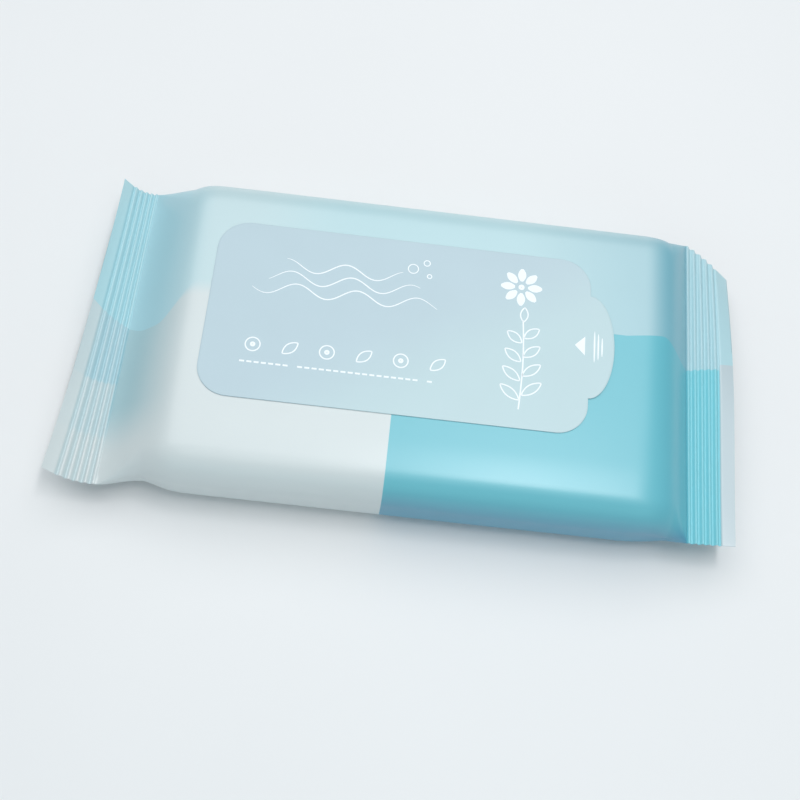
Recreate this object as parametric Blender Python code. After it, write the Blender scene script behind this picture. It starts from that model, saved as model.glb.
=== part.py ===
# Wet wipes pack: a sealed film pillow round a folded stack of wipes, with crimped end seals,
# a flat fin seal along its back and a resealable label with a thumb tab on its top.
# Metres, +Z up. The pack lies on its back seal, its length along X.
import math

import bmesh
import bpy

MM = 0.001

# Block of wipes inside its film
BLOCK_HALF_WIDTH = 37.0 * MM
BLOCK_CENTRE_Y = -0.7 * MM
BLOCK_HEIGHT = 20.0 * MM
EDGE_RADIUS = 8.6 * MM
SHOULDER_DROP = 0.9 * MM      # how far the top falls away between its flat middle and its long edges
FLAT_HALF_WIDTH = 25.0 * MM
SLOPE_LENGTH = 14.5 * MM      # from the seal's inner line to the full height of the block
SIDE_TUCK = 0.8 * MM          # depth of the tuck in the side wall at each end

# Crimped end seals. Each corner is (x, y, z): near is -Y, far is +Y. twist is how late across the seal its
# outer edge lifts or drops, curl is how late from the inner line, bow draws in the middle of its outer edge,
# and pinch draws in the film beside it.
SEAL_HALF_WIDTH = 37.4 * MM
SEAL_THICKNESS = 0.30 * MM
RIB_COUNT = 5
RIB_ZONE = 0.68               # share of the seal's depth that the ribs take
RIB_HEIGHT = 0.32 * MM
LEFT_SEAL = {
    "inner_near": (-66.2 * MM, -38.4 * MM, 8.0 * MM),
    "inner_far": (-65.3 * MM, 34.9 * MM, 8.6 * MM),
    "outer_near": (-77.2 * MM, -37.0 * MM, 11.8 * MM),
    "outer_far": (-72.6 * MM, 35.4 * MM, 13.6 * MM),
    "twist": 1.2,
    "curl": 2.4,
    "bow": 1.0 * MM,
    "pinch": 1.0 * MM,
}
RIGHT_SEAL = {
    "inner_near": (62.9 * MM, -37.6 * MM, 9.4 * MM),
    "inner_far": (62.6 * MM, 36.3 * MM, 11.4 * MM),
    "outer_near": (73.4 * MM, -37.4 * MM, 10.2 * MM),
    "outer_far": (74.8 * MM, 32.0 * MM, 5.2 * MM),
    "twist": 3.0,
    "curl": 1.2,
    "bow": 0.0 * MM,
    "pinch": 0.0 * MM,
}

# Fin seal folded flat along the back
FIN_HALF_WIDTH = 5.5 * MM
FIN_THICKNESS = 0.25 * MM
FIN_EDGE = 0.2 * MM

# Resealable label
LABEL_LENGTH = 85.0 * MM
LABEL_WIDTH = 42.8 * MM
LABEL_CORNER = 7.0 * MM
LABEL_THICKNESS = 0.20 * MM
LABEL_CENTRE = (-4.7 * MM, 2.0 * MM)
LABEL_GAP = 0.30 * MM
TAB_REACH = 5.6 * MM
TAB_HALF_WIDTH = 12.6 * MM

# Mesh fineness
TOP_POINTS = 16
CORNER_POINTS = 5
SLOPE_STATIONS = 12
BODY_STATIONS = 8
STATIONS_PER_RIB = 4
BAND_STATIONS = 3

FILM_COLOUR = (0.50, 0.76, 0.82, 1.0)
LABEL_COLOUR = (0.60, 0.76, 0.84, 1.0)


def clear_scene():
    for obj in list(bpy.data.objects):
        bpy.data.objects.remove(obj, do_unlink=True)


def mix(a, b, t):
    return a + (b - a) * t


def smooth(t):
    t = min(max(t, 0.0), 1.0)
    return t * t * (3.0 - 2.0 * t)


def principled(name, colour, roughness):
    material = bpy.data.materials.new(name)
    material.use_nodes = True
    shader = material.node_tree.nodes["Principled BSDF"]
    shader.inputs["Base Color"].default_value = colour
    shader.inputs["Roughness"].default_value = roughness
    shader.inputs["Metallic"].default_value = 0.0
    material.diffuse_color = colour
    return material


def seal_point(seal, depth, across):
    """Middle of the seal's sheet: depth 0 at its inner line and 1 at its edge, across -1 near and 1 far."""
    side = (across + 1.0) / 2.0
    inner_x, inner_y, inner_z = (mix(a, b, side) for a, b in zip(seal["inner_near"], seal["inner_far"]))
    outer_x, outer_y, _ = (mix(a, b, side) for a, b in zip(seal["outer_near"], seal["outer_far"]))
    outer_z = mix(seal["outer_near"][2], seal["outer_far"][2], side ** seal["twist"])
    outer_x += seal["bow"] * (1.0 - across ** 2)
    curled = depth ** seal["curl"]
    return mix(inner_x, outer_x, depth), mix(inner_y, outer_y, curled), mix(inner_z, outer_z, curled)


def rib_offset(depth):
    """Height of the crimp's ribs over the sheet's middle, in metres."""
    if depth >= RIB_ZONE:
        return 0.0
    return RIB_HEIGHT * math.sin(2.0 * math.pi * RIB_COUNT * depth / RIB_ZONE)


def section(half_width, half_height, radius):
    """Rounded rectangle as (y, z, kind), anticlockwise from the far side's middle; the bottom has the fin."""
    radius = min(radius, half_height)
    straight = half_width - radius
    rise = half_height - radius
    points = []
    for i in range(CORNER_POINTS + 1):
        angle = math.pi / 2.0 * i / CORNER_POINTS
        points.append((straight + radius * math.cos(angle), rise + radius * math.sin(angle), "edge"))
    for i in range(1, TOP_POINTS):
        points.append((mix(straight, -straight, i / TOP_POINTS), half_height, "top"))
    for i in range(CORNER_POINTS + 1):
        angle = math.pi / 2.0 * (1.0 + i / CORNER_POINTS)
        points.append((-straight + radius * math.cos(angle), rise + radius * math.sin(angle), "edge"))
    if rise > 0.0:
        points.append((-half_width, 0.0, "edge"))
    else:
        points.append((-half_width, -half_height * 0.1, "edge"))
    for i in range(1, CORNER_POINTS + 1):
        angle = math.pi / 2.0 * (2.0 + i / CORNER_POINTS)
        points.append((-straight + radius * math.cos(angle), -rise + radius * math.sin(angle), "edge"))
    fin_outer = FIN_HALF_WIDTH + FIN_EDGE
    for share in (0.66, 0.33):
        points.append((mix(-fin_outer, -straight, share), -half_height, "under"))
    for y, kind in ((-fin_outer, "under"), (-FIN_HALF_WIDTH, "fin"), (FIN_HALF_WIDTH, "fin"), (fin_outer, "under")):
        points.append((y, -half_height, kind))
    for share in (0.33, 0.66):
        points.append((mix(fin_outer, straight, share), -half_height, "under"))
    for i in range(CORNER_POINTS):
        angle = math.pi / 2.0 * (3.0 + i / CORNER_POINTS)
        points.append((straight + radius * math.cos(angle), -rise + radius * math.sin(angle), "edge"))
    if rise > 0.0:
        points.append((half_width, 0.0, "edge"))
    else:
        points.append((half_width, -half_height * 0.1, "edge"))
    return points


def seal_ring(seal, depth):
    half = SEAL_THICKNESS / 2.0
    ring = []
    for y, z, kind in section(SEAL_HALF_WIDTH, half, half):
        across = y / SEAL_HALF_WIDTH
        x, middle_y, middle_z = seal_point(seal, depth, across)
        drop = FIN_THICKNESS if kind == "fin" else 0.0
        ring.append((x, middle_y, middle_z + z + rib_offset(depth) - drop))
    return ring


def body_ring(share):
    """Ring of the filled part: share 0 at the left seal's inner line, 1 at the right one's."""
    left_x = mix(LEFT_SEAL["inner_near"][0], LEFT_SEAL["inner_far"][0], 0.5)
    right_x = mix(RIGHT_SEAL["inner_near"][0], RIGHT_SEAL["inner_far"][0], 0.5)
    length = right_x - left_x
    from_end = min(share, 1.0 - share) * length
    near_left = share < 0.5
    seal = LEFT_SEAL if near_left else RIGHT_SEAL
    closed = min(from_end / SLOPE_LENGTH, 1.0)
    fullness = smooth(closed) ** 0.85
    half_height = mix(SEAL_THICKNESS / 2.0, (BLOCK_HEIGHT - FIN_THICKNESS) / 2.0, fullness)
    pinch = seal["pinch"] * math.sin(math.pi * closed) ** 2
    half_width = mix(SEAL_HALF_WIDTH, BLOCK_HALF_WIDTH, smooth(closed)) - pinch
    radius = min(half_height, EDGE_RADIUS)
    tuck = SIDE_TUCK * math.sin(math.pi * closed ** 0.8) ** 2
    centre_z = (BLOCK_HEIGHT + FIN_THICKNESS) / 2.0
    ring = []
    for y, z, kind in section(half_width, half_height, radius):
        across = y / half_width
        seam_left = seal_point(LEFT_SEAL, 0.0, across)
        seam_right = seal_point(RIGHT_SEAL, 0.0, across)
        x = mix(seam_left[0], seam_right[0], share)
        seam = seal_point(seal, 0.0, across)
        middle_z = mix(seam[2], centre_z, fullness)
        middle_y = mix(seam[1] - across * SEAL_HALF_WIDTH, BLOCK_CENTRE_Y, fullness)
        if kind == "edge":
            y -= math.copysign(tuck * (1.0 - abs(z) / half_height) ** 2, y)
        shoulder = max(abs(y) - FLAT_HALF_WIDTH, 0.0) / (BLOCK_HALF_WIDTH - FLAT_HALF_WIDTH)
        drop = SHOULDER_DROP * shoulder ** 2 * fullness if z > 0.0 else 0.0
        if kind == "fin":
            drop = FIN_THICKNESS
        ring.append((x, y + middle_y, middle_z + z - drop))
    return ring


def film_rings():
    ribs = RIB_COUNT * STATIONS_PER_RIB
    depths = [RIB_ZONE * i / ribs for i in range(ribs + 1)]
    depths += [mix(RIB_ZONE, 1.0, i / BAND_STATIONS) for i in range(1, BAND_STATIONS + 1)]
    left_x = mix(LEFT_SEAL["inner_near"][0], LEFT_SEAL["inner_far"][0], 0.5)
    right_x = mix(RIGHT_SEAL["inner_near"][0], RIGHT_SEAL["inner_far"][0], 0.5)
    slope_share = SLOPE_LENGTH / (right_x - left_x)
    slope = [slope_share * i / SLOPE_STATIONS for i in range(1, SLOPE_STATIONS + 1)]
    flat = [mix(slope_share, 1.0 - slope_share, i / BODY_STATIONS) for i in range(1, BODY_STATIONS)]
    shares = slope + flat + [1.0 - s for s in reversed(slope)]
    rings = [seal_ring(LEFT_SEAL, depth) for depth in reversed(depths)]
    rings += [body_ring(share) for share in shares]
    rings += [seal_ring(RIGHT_SEAL, depth) for depth in depths]
    return rings


def centring(rings):
    """Shift in X and Y that puts the middle of the whole pack's outline over the origin."""
    xs = [point[0] for ring in rings for point in ring]
    ys = [point[1] for ring in rings for point in ring]
    return -(min(xs) + max(xs)) / 2.0, -(min(ys) + max(ys)) / 2.0


def finish_object(name, bm, material, sharp_angle):
    mesh = bpy.data.meshes.new(name)
    bmesh.ops.recalc_face_normals(bm, faces=bm.faces)
    bm.to_mesh(mesh)
    bm.free()
    mesh.shade_smooth()
    mesh.set_sharp_from_angle(angle=math.radians(sharp_angle))
    mesh.materials.append(material)
    obj = bpy.data.objects.new(name, mesh)
    bpy.context.scene.collection.objects.link(obj)
    return obj


def make_film_pack(places, shift):
    bm = bmesh.new()
    rings = [[bm.verts.new((x + shift[0], y + shift[1], z)) for x, y, z in ring] for ring in places]
    count = len(rings[0])
    for first, second in zip(rings, rings[1:]):
        for i in range(count):
            j = (i + 1) % count
            bm.faces.new((first[i], first[j], second[j], second[i]))
    bm.faces.new(rings[0])
    bm.faces.new(rings[-1])
    return finish_object("film_pack", bm, principled("printed film", FILM_COLOUR, 0.42), 50.0)


def arc(centre, radius, start, end, steps):
    points = []
    for i in range(steps + 1):
        angle = math.radians(mix(start, end, i / steps))
        points.append((centre[0] + radius * math.cos(angle), centre[1] + radius * math.sin(angle)))
    return points


def label_outline():
    """Rounded rectangle with a bowed thumb tab on its +X end, anticlockwise."""
    half_x = LABEL_LENGTH / 2.0
    half_y = LABEL_WIDTH / 2.0
    inset_x = half_x - LABEL_CORNER
    inset_y = half_y - LABEL_CORNER
    points = arc((inset_x, -inset_y), LABEL_CORNER, -90, 0, 8)
    points += [(half_x + TAB_REACH * x, TAB_HALF_WIDTH * y) for x, y in arc((0.0, 0.0), 1.0, -90, 90, 18)]
    points += arc((inset_x, inset_y), LABEL_CORNER, 0, 90, 8)
    points += arc((-inset_x, inset_y), LABEL_CORNER, 90, 180, 8)
    points += arc((-inset_x, -inset_y), LABEL_CORNER, 180, 270, 8)
    return points


def make_label(shift):
    bm = bmesh.new()
    base = BLOCK_HEIGHT + LABEL_GAP
    centre = (LABEL_CENTRE[0] + shift[0], LABEL_CENTRE[1] + shift[1])
    outline = [bm.verts.new((centre[0] + x, centre[1] + y, base)) for x, y in label_outline()]
    face = bm.faces.new(outline)
    grown = bmesh.ops.extrude_face_region(bm, geom=[face])
    top = [item for item in grown["geom"] if isinstance(item, bmesh.types.BMVert)]
    bmesh.ops.translate(bm, verts=top, vec=(0.0, 0.0, LABEL_THICKNESS))
    return finish_object("reseal_label", bm, principled("label", LABEL_COLOUR, 0.35), 30.0)


clear_scene()
film_places = film_rings()
to_centre = centring(film_places)
make_film_pack(film_places, to_centre)
make_label(to_centre)
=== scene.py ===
import math

import bmesh
import bpy
from mathutils import Matrix, Vector, noise


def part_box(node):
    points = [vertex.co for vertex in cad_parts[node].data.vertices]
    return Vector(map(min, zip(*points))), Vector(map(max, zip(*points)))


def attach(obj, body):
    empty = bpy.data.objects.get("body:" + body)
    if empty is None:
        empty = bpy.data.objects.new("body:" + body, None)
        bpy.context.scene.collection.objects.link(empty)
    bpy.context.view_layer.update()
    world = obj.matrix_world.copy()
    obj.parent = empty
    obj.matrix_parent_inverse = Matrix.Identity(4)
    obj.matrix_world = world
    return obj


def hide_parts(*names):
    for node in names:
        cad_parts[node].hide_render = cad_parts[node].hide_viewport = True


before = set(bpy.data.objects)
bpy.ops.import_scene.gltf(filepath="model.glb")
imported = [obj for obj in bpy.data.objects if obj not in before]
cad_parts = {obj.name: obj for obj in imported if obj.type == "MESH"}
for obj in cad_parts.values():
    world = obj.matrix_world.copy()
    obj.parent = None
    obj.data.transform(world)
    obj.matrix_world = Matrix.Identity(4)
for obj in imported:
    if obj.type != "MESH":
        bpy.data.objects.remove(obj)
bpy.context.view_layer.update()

packLow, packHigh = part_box("film_pack")
labelLow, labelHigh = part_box("reseal_label")
mm = 0.001
flatScale = 10.0    # one unit of the film's flat map is 100 mm
print("frame loaded")


def mix(a, b, t):
    return a + (b - a) * t


def smooth(t):
    t = min(max(t, 0.0), 1.0)
    return t * t * (3.0 - 2.0 * t)


def screenColour(srgb):
    # 0-255 screen values to the linear values a shader takes
    return tuple(((c / 255.0 + 0.055) / 1.055) ** 2.4 for c in srgb) + (1.0,)


# the film round the wipes; near is -Y and far is +Y
wrapper = {
    "blockHalfWidth": 37.0 * mm,
    "blockHeight": 20.0 * mm,
    "edgeRadii": (6.8 * mm, 7.6 * mm),        # near and far
    "nearShoulder": (24.0 * mm, 1.3 * mm),    # where the flat top ends, and its fall from there to the edge
    "farShoulder": (25.0 * mm, 0.9 * mm),
    "sealHalfWidth": 37.3 * mm,
    "sealThickness": 0.16 * mm,
    "sealReach": 11.6 * mm,    # from a seal's inner line to its edge
    "sealWave": (0.25 * mm, 9.0 * mm),
    "finHalfWidth": 5.5 * mm,
    "finThickness": 0.25 * mm,
    "finStep": 0.15 * mm,
    "ribCount": 5,
    "ribHeight": 0.36 * mm,
    "topSag": 0.14 * mm,       # how far the film dips between the wipes' high spots
    "broadSag": (34.0 * mm, 22.0 * mm),
    "fineSag": (12.0 * mm, 15.0 * mm),
    "gather": 0.30 * mm,       # soft pleats that run from the seal up the slope
    "pleats": ((0.4, 1.9 * mm, 0.0), (0.6, 3.3 * mm, 1.0)),    # share, length and shift of their two waves
    "pleatReach": 5.0 * mm,
    "sideSag": 0.35 * mm,
    "sideSagLengths": (16.0 * mm, 9.0 * mm),
    "nearTuck": 0.8 * mm,
    "stationsPerRib": 12,
    "bandStations": 8,
    "slopeStations": 40,
    "bodyStations": 54,
    "topPoints": 36,
    "cornerPoints": 11,
    "underPoints": 10,
}
# the two crimped seals, their corners placed by insets from the pack's box; twist bends the edge's far end,
# curl bends the seal outwards, bow rounds its edge and pinch draws the slope's near foot in
leftSeal = {
    "innerNear": (packLow.x + 11.0 * mm, packLow.y, 8.0 * mm),
    "innerFar": (packLow.x + 11.9 * mm, packHigh.y - 1.4 * mm, 8.6 * mm),
    "outerNear": (packLow.x, packLow.y + 1.4 * mm, 11.8 * mm),
    "outerFar": (packLow.x + 4.6 * mm, packHigh.y - 0.9 * mm, 13.6 * mm),
    "twist": 1.2,
    "curl": 2.4,
    "bow": 0.8 * mm,
    "pinch": 1.0 * mm,
    "slopes": (17.5 * mm, 15.5 * mm),    # length of the slope up to the flat top, near and far
    "belly": 0.25,                       # 0 for a slope with an S shape, 1 for one that bulges
    "bulge": 2.2,
    "rounding": 0.25,                    # how softly the slope begins at the flat top
    "ribZone": 0.78,                     # share of the seal that has ribs
}
rightSeal = {
    "innerNear": (packHigh.x - 11.9 * mm, packLow.y + 0.8 * mm, 9.4 * mm),
    "innerFar": (packHigh.x - 12.2 * mm, packHigh.y, 11.4 * mm),
    "outerNear": (packHigh.x - 1.4 * mm, packLow.y + 1.0 * mm, 10.2 * mm),
    "outerFar": (packHigh.x, packHigh.y - 4.3 * mm, 5.2 * mm),
    "twist": 3.0,
    "curl": 1.2,
    "bow": 0.0,
    "pinch": 0.0,
    "slopes": (15.0 * mm, 13.0 * mm),
    "belly": 1.0,
    "bulge": 3.0,
    "rounding": 0.1,
    "ribZone": 0.72,
}
blockCentreY = packHigh.y - wrapper["blockHalfWidth"]


def seamX(seal):
    # middle of the seal's inner line
    return mix(seal["innerNear"][0], seal["innerFar"][0], 0.5)


def sealPoint(seal, depth, across):
    # middle of the seal's sheet, from its inner line (0) to its edge (1), near (-1) to far (1)
    side = min(max((across + 1.0) / 2.0, 0.0), 1.0)
    innerX, innerY, innerZ = (mix(a, b, side) for a, b in zip(seal["innerNear"], seal["innerFar"]))
    outerX, outerY, _ = (mix(a, b, side) for a, b in zip(seal["outerNear"], seal["outerFar"]))
    outerZ = mix(seal["outerNear"][2], seal["outerFar"][2], side ** seal["twist"])
    outerX += seal["bow"] * (1.0 - across ** 2)
    curled = depth ** seal["curl"]
    return mix(innerX, outerX, depth), mix(innerY, outerY, curled), mix(innerZ, outerZ, curled)


def halfSection(halfWidth, halfHeight, radius):
    # one half of a rounded rectangle, top middle to bottom middle, as (y, z, kind)
    radius = min(radius, halfHeight)
    straight = halfWidth - radius
    rise = halfHeight - radius
    corner = wrapper["cornerPoints"]
    points = [(straight * i / wrapper["topPoints"], halfHeight, "top") for i in range(wrapper["topPoints"])]
    for i in range(corner + 1):
        angle = math.pi / 2.0 * (1.0 - i / corner)
        points.append((straight + radius * math.cos(angle), rise + radius * math.sin(angle), "edge"))
    for i in range(corner + 1):
        angle = -math.pi / 2.0 * i / corner
        drop = -rise if rise > 0.0 else -halfHeight * 0.02
        points.append((straight + radius * math.cos(angle), drop + radius * math.sin(angle), "edge"))
    finOuter = wrapper["finHalfWidth"] + wrapper["finStep"]
    for i in range(1, wrapper["underPoints"]):
        points.append((mix(straight, finOuter, i / wrapper["underPoints"]), -halfHeight, "under"))
    points.append((finOuter, -halfHeight, "under"))
    points.append((wrapper["finHalfWidth"], -halfHeight, "fin"))
    points.append((wrapper["finHalfWidth"] * 0.5, -halfHeight, "fin"))
    points.append((0.0, -halfHeight, "fin"))
    return points


def fullSection(halfWidth, halfHeight):
    # the whole loop, bottom middle round the near side, over the top and back down the far side
    nearRadius, farRadius = wrapper["edgeRadii"]
    near = [(-y, z, kind) for y, z, kind in halfSection(halfWidth, halfHeight, nearRadius)[1:]]
    return list(reversed(near)) + halfSection(halfWidth, halfHeight, farRadius)[:-1]


def flatWidths():
    # signed distance of each loop point from the top's middle, measured over the film of the full block
    loop = fullSection(wrapper["blockHalfWidth"], wrapper["blockHeight"] / 2.0)
    top = len(halfSection(1.0, 1.0, 0.5)) - 1
    flat = [0.0] * len(loop)
    for i in range(top + 1, len(loop)):
        flat[i] = flat[i - 1] + math.dist(loop[i][:2], loop[i - 1][:2])
    for i in range(top - 1, -1, -1):
        flat[i] = flat[i + 1] - math.dist(loop[i][:2], loop[i + 1][:2])
    return flat


flatLoop = flatWidths()
blockSection = fullSection(wrapper["blockHalfWidth"], wrapper["blockHeight"] / 2.0)
farWeights = [smooth(0.5 + 0.5 * y / wrapper["blockHalfWidth"]) for y, _, _ in blockSection]


def topDip(x, y):
    # shallow hollows in the film over the folded wipes, never above the flat top
    broadX, broadY = wrapper["broadSag"]
    fineX, fineY = wrapper["fineSag"]
    broad = noise.noise(Vector((x / broadX, y / broadY, 3.1)))
    fine = noise.noise(Vector((x / fineX, y / fineY, 8.7)))
    return wrapper["topSag"] * (0.5 + 0.4 * broad + 0.1 * fine)


def flatPlaces(section, halfWidth, halfHeight):
    # where each point lies across the flat film: the top keeps its own width and the rest follows on
    places = []
    for (y, _, kind), flat in zip(section, flatLoop):
        radius = wrapper["edgeRadii"][flat > 0.0]
        straight = halfWidth - min(radius, halfHeight)
        beyond = abs(flat) - (wrapper["blockHalfWidth"] - radius)
        places.append(y if kind == "top" else math.copysign(straight + beyond, flat))
    return places


def sealRing(seal, depth):
    half = wrapper["sealThickness"] / 2.0
    waveHeight, waveLength = wrapper["sealWave"]
    section = fullSection(wrapper["sealHalfWidth"], half)
    ring = []
    for y, z, kind in section:
        x, middleY, middleZ = sealPoint(seal, depth, y / wrapper["sealHalfWidth"])
        drop = wrapper["finThickness"] * 0.5 if kind == "fin" else 0.0
        wave = waveHeight * depth * math.sin(y / waveLength + depth)
        ring.append((x, middleY, middleZ + z - drop + wave))
    return ring, flatPlaces(section, wrapper["sealHalfWidth"], half)


def slopeRing(share, seal, slope):
    # one loop of the body, closed down to the seal over the given length
    leftX, rightX = seamX(leftSeal), seamX(rightSeal)
    fromEnd = min(share, 1.0 - share) * (rightX - leftX)
    opened = fromEnd / slope
    rounding = max(seal["rounding"] - abs(opened - 1.0), 0.0)
    closed = min(opened, 1.0) - rounding ** 2 / (4.0 * seal["rounding"])
    fullness = mix(smooth(closed) ** 0.85, 1.0 - (1.0 - closed) ** seal["bulge"], seal["belly"])
    fin = wrapper["finThickness"]
    halfHeight = mix(wrapper["sealThickness"] / 2.0, (wrapper["blockHeight"] - fin) / 2.0, fullness)
    pinch = seal["pinch"] * math.sin(math.pi * closed) ** 2
    halfWidth = mix(wrapper["sealHalfWidth"], wrapper["blockHalfWidth"], fullness)
    centreZ = (wrapper["blockHeight"] + fin) / 2.0
    onSlope = math.sin(math.pi * closed) ** 1.5
    fade = math.exp(-fromEnd / wrapper["pleatReach"])
    sagX, sagZ = wrapper["sideSagLengths"]
    ring = []
    section = fullSection(halfWidth, halfHeight)
    for y, z, kind in section:
        across = y / halfWidth
        x = mix(sealPoint(leftSeal, 0.0, across)[0], sealPoint(rightSeal, 0.0, across)[0], share)
        seam = sealPoint(seal, 0.0, across)
        middleZ = mix(seam[2], centreZ, fullness)
        middleY = mix(seam[1] - across * wrapper["sealHalfWidth"], blockCentreY, fullness)
        flatEdge, fall = wrapper["farShoulder"] if y > 0.0 else wrapper["nearShoulder"]
        shoulder = max(abs(y) - flatEdge, 0.0) / (wrapper["blockHalfWidth"] - flatEdge)
        drop = 0.0
        if z > 0.0:
            drop = fall * shoulder ** 2 * fullness + topDip(x, y) * fullness
            pleat = sum(size * math.sin(y / length + shift) for size, length, shift in wrapper["pleats"])
            drop += wrapper["gather"] * (0.6 + 0.6 * pleat) * onSlope * fade
        if kind == "fin":
            drop = fin
        if kind == "edge":
            sag = 0.5 + 0.5 * noise.noise(Vector((x / sagX, z / sagZ, math.copysign(5.0, y))))
            inward = wrapper["sideSag"] * sag * fullness * (1.0 - abs(z) / halfHeight)
            tuck = wrapper["nearTuck"] if y < 0.0 else 0.0
            y -= math.copysign(inward + tuck * onSlope * (1.0 - abs(z) / halfHeight) ** 2, y)
        y += pinch * max(-across, 0.0) ** 2
        ring.append((x, y + middleY, middleZ + z - drop))
    return ring, flatPlaces(section, halfWidth, halfHeight)


def bodyRing(share):
    # the near and far sides slope down over their own lengths, blended across the pack
    seal = leftSeal if share < 0.5 else rightSeal
    near, nearFlat = slopeRing(share, seal, seal["slopes"][0])
    far, farFlat = slopeRing(share, seal, seal["slopes"][1])
    ring = [tuple(mix(a, b, w) for a, b in zip(p, q)) for p, q, w in zip(near, far, farWeights)]
    return ring, [mix(a, b, w) for a, b, w in zip(nearFlat, farFlat, farWeights)]


def wrapperStations():
    # (ring, across, distance along the flat film, rib depth) from the left edge to the right edge
    leftX, rightX = seamX(leftSeal), seamX(rightSeal)
    leftShare = max(leftSeal["slopes"]) * (1.0 + leftSeal["rounding"]) / (rightX - leftX)
    rightShare = max(rightSeal["slopes"]) * (1.0 + rightSeal["rounding"]) / (rightX - leftX)
    steps = wrapper["slopeStations"]
    body = wrapper["bodyStations"]
    shares = [leftShare * i / steps for i in range(1, steps + 1)]
    shares += [mix(leftShare, 1.0 - rightShare, i / body) for i in range(1, body)]
    shares += [1.0 - rightShare * i / steps for i in range(steps, 0, -1)]
    stations = [(*bodyRing(s), mix(leftX, rightX, s), -1.0) for s in shares]
    for seal, startX, outward in ((leftSeal, leftX, -1.0), (rightSeal, rightX, 1.0)):
        zone = seal["ribZone"]
        ribs = wrapper["ribCount"] * wrapper["stationsPerRib"]
        band = wrapper["bandStations"]
        depths = [zone * i / ribs for i in range(ribs + 1)]
        depths += [mix(zone, 1.0, i / band) for i in range(1, band + 1)]
        for d in depths:
            place = len(stations) if outward > 0.0 else 0
            reached = startX + outward * d * wrapper["sealReach"]
            stations.insert(place, (*sealRing(seal, d), reached, d / zone))
    return stations


def makeWrapper():
    stations = wrapperStations()
    count = len(flatLoop)
    mesh = bpy.data.meshes.new("filmWrapper")
    points = [point for ring, _, _, _ in stations for point in ring]
    faces = []
    for s in range(len(stations) - 1):
        for i in range(count):
            j = (i + 1) % count
            faces.append((s * count + i, s * count + j, (s + 1) * count + j, (s + 1) * count + i))
    faces.append(tuple(reversed(range(count))))
    faces.append(tuple(range((len(stations) - 1) * count, len(stations) * count)))
    mesh.from_pydata(points, [], faces)
    depth = mesh.attributes.new("ribDepth", "FLOAT", "POINT")
    depth.data.foreach_set("value", [d for _, _, _, d in stations for _ in range(count)])
    uvLayer = mesh.uv_layers.new(name="flatFilm")
    for polygon in mesh.polygons:
        wraps = polygon.loop_total == 4 and any(mesh.loops[k].vertex_index % count == count - 1
                                                for k in polygon.loop_indices)
        for k in polygon.loop_indices:
            vertex = mesh.loops[k].vertex_index
            across = stations[vertex // count][1][vertex % count]
            if wraps and vertex % count == 0:
                across = -across
            uvLayer.data[k].uv = (stations[vertex // count][2] * flatScale, across * flatScale)
    bm = bmesh.new()
    bm.from_mesh(mesh)
    bmesh.ops.recalc_face_normals(bm, faces=bm.faces)
    bm.to_mesh(mesh)
    bm.free()
    obj = bpy.data.objects.new("filmWrapper", mesh)
    bpy.context.scene.collection.objects.link(obj)
    return obj


def newTree(name, inputs):
    tree = bpy.data.node_groups.new(name, "GeometryNodeTree")
    tree.interface.new_socket("Geometry", in_out="INPUT", socket_type="NodeSocketGeometry")
    for label, kind, value in inputs:
        socket = tree.interface.new_socket(label, in_out="INPUT", socket_type=kind)
        if value is not None:
            socket.default_value = value
    tree.interface.new_socket("Geometry", in_out="OUTPUT", socket_type="NodeSocketGeometry")
    return tree, tree.nodes.new("NodeGroupInput"), tree.nodes.new("NodeGroupOutput")


def addMath(tree, operation, a, b=None):
    node = tree.nodes.new("ShaderNodeMath")
    node.operation = operation
    for socket, value in zip(node.inputs, (a, b)):
        if value is None:
            continue
        if isinstance(value, (int, float)):
            socket.default_value = value
        else:
            tree.links.new(value, socket)
    return node.outputs[0]


def applyTree(obj, tree, values):
    # runs the tree once and leaves a plain mesh
    modifier = obj.modifiers.new(tree.name, "NODES")
    modifier.node_group = tree
    for item in tree.interface.items_tree:
        if item.in_out == "INPUT" and item.name in values:
            modifier[item.identifier] = values[item.name]
    graph = bpy.context.evaluated_depsgraph_get()
    finished = obj.evaluated_get(graph)
    made = bpy.data.meshes.new_from_object(finished, preserve_all_data_layers=True, depsgraph=graph)
    made.name = obj.name
    obj.modifiers.remove(modifier)
    obj.data = made
    return obj


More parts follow.
